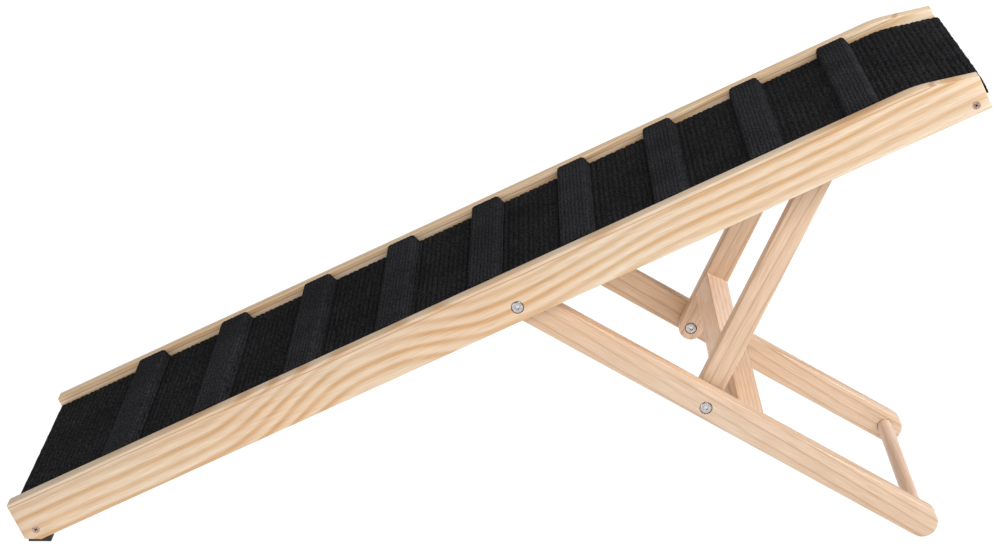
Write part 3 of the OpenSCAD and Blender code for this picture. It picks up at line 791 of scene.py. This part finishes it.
def frayed_hem(tree, material):
    """Loose threads along the hem that hangs at the high end."""
    side = RAIL_INNER_Y - HEM_SIDE_GAP
    along = RAIL_LENGTH + CARPET_OVERHANG - 1.2 * MM  # inside the cloth's thickness
    up = CARPET_HEM_UP + 0.6 * MM  # the threads' roots are just inside the cut edge
    points = [ramp_point(along, y, up) for y in np.linspace(-side, side, HEM_THREADS)]
    mesh = bpy.data.meshes.new("hem_points")
    mesh.from_pydata(points, [], [])
    threads = run_tree(tree, mesh, "frayed_hem", {
        "Thread length": THREAD_LENGTH,
        "Thread radius": THREAD_RADIUS,
        "Lean": 0.5,
        "Seed": SEED,
        "Material": material,
    })
    piece_from("frayed_hem", threads, "ramp", "black_carpet", material)


# ---------------------------------------------------------------- the whole ramp


def side_start(side_y):
    """Where a rail's figure starts: its low end, on the given side."""
    return RAMP_START + Vector((0, side_y, 0))


def paint_node(node, material):
    """Gives a CAD node its material."""
    slots = frame["nodes"][node].data.materials
    slots.clear()
    slots.append(material)


def board_piece(node, body, slot, material, ease=WOOD_EASE):
    """A wooden node with its edges eased, in its own pine."""
    piece_from(node + "_board", eased_board(node, ease), body, slot, material, node)


def build_wood():
    """Every board, dowel and panel."""
    arches = (
        (210 * MM, 390 * MM, 46 * MM),
        (410 * MM, 530 * MM, -23 * MM),
        (550 * MM, 740 * MM, 15 * MM),
        (740 * MM, 1050 * MM, 9 * MM),
    )
    right_rail = pine("pine_right_rail", side_start(-RAIL_OUTER_Y), RAMP_SLOPE, RAIL_SHADES,
                      heart=(9 * MM, -50 * MM), ring_width=11.4 * MM, changes=arches,
                      vein=43.4 * MM, seed=1.3)
    # the far rail's pine is painted lighter, as painted light where less light reaches it
    left_rail = pine("pine_left_rail", side_start(RAIL_INNER_Y), RAMP_SLOPE, FAR_RAIL_PAINTED_LIGHT_SHADES,
                     heart=(-60 * MM, -20 * MM), ring_width=7.0 * MM,
                     changes=((500 * MM, 900 * MM, 25 * MM),), vein=42.6 * MM, seed=4.1)
    board_piece("right_side_rail", "ramp", "rail_pine", right_rail)
    board_piece("left_side_rail", "ramp", "rail_pine", left_rail)
    boards = {
        "right_leg": ("leg_frame", LEG_PIVOT, LEG_SLOPE, 2.2),
        "left_leg": ("leg_frame", LEG_PIVOT, LEG_SLOPE, 5.6),
        "right_strut": ("strut_frame", STRUT_PIVOT, STRUT_SLOPE, 8.3),
        "left_strut": ("strut_frame", STRUT_PIVOT, STRUT_SLOPE, 3.7),
    }
    for node, (body, pivot, slope, seed) in boards.items():
        face = pivot + Vector((0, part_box(node)[0][1], 0))
        material = pine("pine_" + node, face, slope, LEG_SHADES, heart=(34 * MM, -52 * MM),
                        ring_width=9.5 * MM, changes=((0.0, 500 * MM, -16 * MM),), bands=FINE_BANDS,
                        wander=1.6 * MM, contrast=0.7, seed=seed)
        board_piece(node, body, "leg_pine", material)
    crosspieces = {
        # the cross block's pine is painted lighter, as painted light in the shade under the deck
        "strut_cross_block": ("strut_frame", BLOCK_PAINTED_LIGHT_SHADES, 6.4),
        "leg_cross_rail": ("leg_frame", LEG_SHADES, 2.9),
    }
    for node, (body, shades, seed) in crosspieces.items():
        material = pine("pine_" + node, middle(node), None, shades, heart=(60 * MM, 20 * MM),
                        ring_width=5 * MM, bands=FINE_BANDS, wander=1.2 * MM, contrast=0.8, seed=seed)
        board_piece(node, body, "leg_pine", material, SMALL_WOOD_EASE)
    racks = pine("pine_racks", RAMP_START, RAMP_SLOPE, LEG_SHADES,
                 heart=(200 * MM, 20 * MM), ring_width=4.5 * MM, contrast=0.6, seed=9.2)
    for node in ("right_notch_rack", "left_notch_rack"):
        board_piece(node, "ramp", "plain_pine", racks, ROUGH_WOOD_EASE)
    crosswise = pine("pine_cross_rails", RAMP_START, None, LEG_SHADES,
                     heart=(300 * MM, 100 * MM), ring_width=4.5 * MM, contrast=0.6, seed=7.7)
    for node in ("low_cross_rail", "high_cross_rail"):
        board_piece(node, "ramp", "plain_pine", crosswise, ROUGH_WOOD_EASE)
    for number in range(1, CLEAT_COUNT + 1):
        paint_node(f"cleat_batten_{number}", crosswise)
    rod = dowel_wood("dowel_hardwood", RAMP_START)
    board_piece("foot_dowel", "leg_frame", "dowel_wood", rod, SMALL_WOOD_EASE)
    board_piece("catch_bar", "strut_frame", "dowel_wood", rod, BAR_EASE)
    for node in ("cross_block_dowels", "leg_rail_dowels"):
        paint_node(node, rod)
    sheet_wood = plywood("poplar_plywood")
    for node in ("deck_panel", "landing_panel"):
        paint_node(node, sheet_wood)


def head_face(node, inward):
    """How far from the middle the heads of a node's bolts show, on the inner or the outer side."""
    points = [abs(vertex.co.y) for vertex in frame["nodes"][node].data.vertices]
    return min(points) if inward else max(points)


def build_hardware():
    """Pivot bolts and their barrel nuts, washers, screws and rubber feet."""
    bolts = {
        "leg_pivot_bolts": "ramp",
        "leg_barrel_nuts": "ramp",
        "strut_pivot_bolts": "leg_frame",
        "strut_barrel_nuts": "leg_frame",
    }
    for node, body in bolts.items():
        bright = nickel_plate("nickel_" + node, head_face(node, inward="barrel" in node))
        mesh = eased_board(node, HEAD_EASE, hole_size=0.0)
        piece_from(node + "_eased", mesh, body, "bolt_chrome", bright, node)
    dull = zinc_plate("zinc_plate", "#B9B7B2", "#8E8C88", 0.4)
    for node in ("leg_washers", "strut_washers"):
        paint_node(node, dull)
    outer = zinc_plate("yellow_zinc_outer", "#CDB4A6", "#A08274", 0.35, RAIL_OUTER_Y)
    paint_node("cross_rail_screws", outer)
    plain = zinc_plate("yellow_zinc", "#B59A78", "#8A6F57", 0.38)
    for node in ("rack_screws", "cleat_screws"):
        paint_node(node, plain)
    rubber = moulded_rubber("moulded_rubber")
    for node in ("right_rubber_foot", "left_rubber_foot"):
        mesh = eased_board(node, RUBBER_EASE, hole_size=5 * MM)
        piece_from(node + "_pad", mesh, "ramp", "black_rubber", rubber, node)


def build_carpet():
    """The deck's carpet, the nine cleat strips and the frayed hem."""
    deck_material = needle_carpet("needle_carpet_deck", "#212122", "#323234", 5.0 * MM)
    cleat_material = needle_carpet("needle_carpet_cleats", "#28282A", "#3A3A3D", 4.0 * MM)
    ribs = ribs_tree()
    deck_carpet(ribs, deck_material)
    for number in range(1, CLEAT_COUNT + 1):
        cleat_cover(number, ribs, cleat_material)
    frayed_hem(fringe_tree(), deck_material)


# ---------------------------------------------------------------- studio

CAMERA_PLACE = (0.0295, -2.8487, 1.0701)
CAMERA_DOWN = math.radians(16.42)
CAMERA_TURN = math.radians(0.396)
CAMERA_ROLL = math.radians(0.07)
CAMERA_LENS = 102.76
SENSOR_WIDTH = 36.0
FLOOR_HALF = 9.0


def studio_floor():
    """A plain white floor of opal acrylic, lit from below so that it stays even under the ramp."""
    mesh = bpy.data.meshes.new("studio_floor")
    corners = [(x * FLOOR_HALF, y * FLOOR_HALF, 0) for x, y in ((-1, -1), (1, -1), (1, 1), (-1, 1))]
    mesh.from_pydata(corners, [], [(0, 1, 2, 3)])
    floor = bpy.data.objects.new("studio_floor", mesh)
    bpy.context.scene.collection.objects.link(floor)
    material, tree, shader = new_material("opal_acrylic", Roughness=0.9)
    place = add(tree, "ShaderNodeTexCoord").outputs["Object"]
    grain = add(tree, "ShaderNodeTexNoise", Vector=place, Scale=3.0, Detail=2.0).outputs["Fac"]
    tint = ramp_between(tree, grain, [(0.3, colour("#343436")), (0.7, colour("#38383A"))])
    tree.links.new(tint, shader.inputs["Base Color"])
    shader.inputs["Emission Color"].default_value = (1.0, 1.0, 1.0, 1.0)
    shader.inputs["Emission Strength"].default_value = 1.0
    mesh.materials.append(material)


def soft_light(name, place, target, size, power):
    """A square soft box that faces the target. size is in metres and power in watts."""
    light = bpy.data.lights.new(name, "AREA")
    light.shape = "SQUARE"
    light.size = size
    light.energy = power
    lamp = bpy.data.objects.new(name, light)
    lamp.location = place
    lamp.rotation_euler = (Vector(target) - Vector(place)).to_track_quat("-Z", "Y").to_euler()
    bpy.context.scene.collection.objects.link(lamp)


def white_world():
    """A white room whose even light fills the shadows."""
    world = bpy.data.worlds.new("white_room")
    bpy.context.scene.world = world
    world.use_nodes = True
    background = world.node_tree.nodes["Background"]
    background.inputs["Color"].default_value = (1.0, 1.0, 1.0, 1.0)
    background.inputs["Strength"].default_value = 0.26


def front_camera():
    """A long lens in front of the ramp, a little above it."""
    data = bpy.data.cameras.new("camera")
    data.lens = CAMERA_LENS
    data.sensor_width = SENSOR_WIDTH
    camera = bpy.data.objects.new("camera", data)
    camera.location = CAMERA_PLACE
    tilt = Matrix.Rotation(CAMERA_TURN, 3, "Z") @ Matrix.Rotation(math.pi / 2 - CAMERA_DOWN, 3, "X")
    camera.rotation_euler = (tilt @ Matrix.Rotation(CAMERA_ROLL, 3, "Z")).to_euler()
    bpy.context.scene.collection.objects.link(camera)
    bpy.context.scene.camera = camera


def studio():
    """Four soft boxes over a white floor in a white room."""
    bpy.context.scene.view_settings.view_transform = "Standard"
    white_world()
    soft_light("key", place=(0.9, -2.7, 2.2), target=(0.0, 0.0, 0.2), size=1.8, power=41.0)
    soft_light("right", place=(2.6, -0.8, 1.7), target=(0.4, 0.0, 0.15), size=1.4, power=75.0)
    soft_light("fill", place=(-1.8, -2.6, 0.6), target=(0.2, 0.0, 0.15), size=1.4, power=19.0)
    soft_light("top", place=(0.2, 0.3, 3.0), target=(0.0, 0.0, 0.2), size=2.4, power=34.0)
    studio_floor()
    front_camera()


studio()
build_wood()
build_hardware()
build_carpet()

bpy.context.view_layer.update()
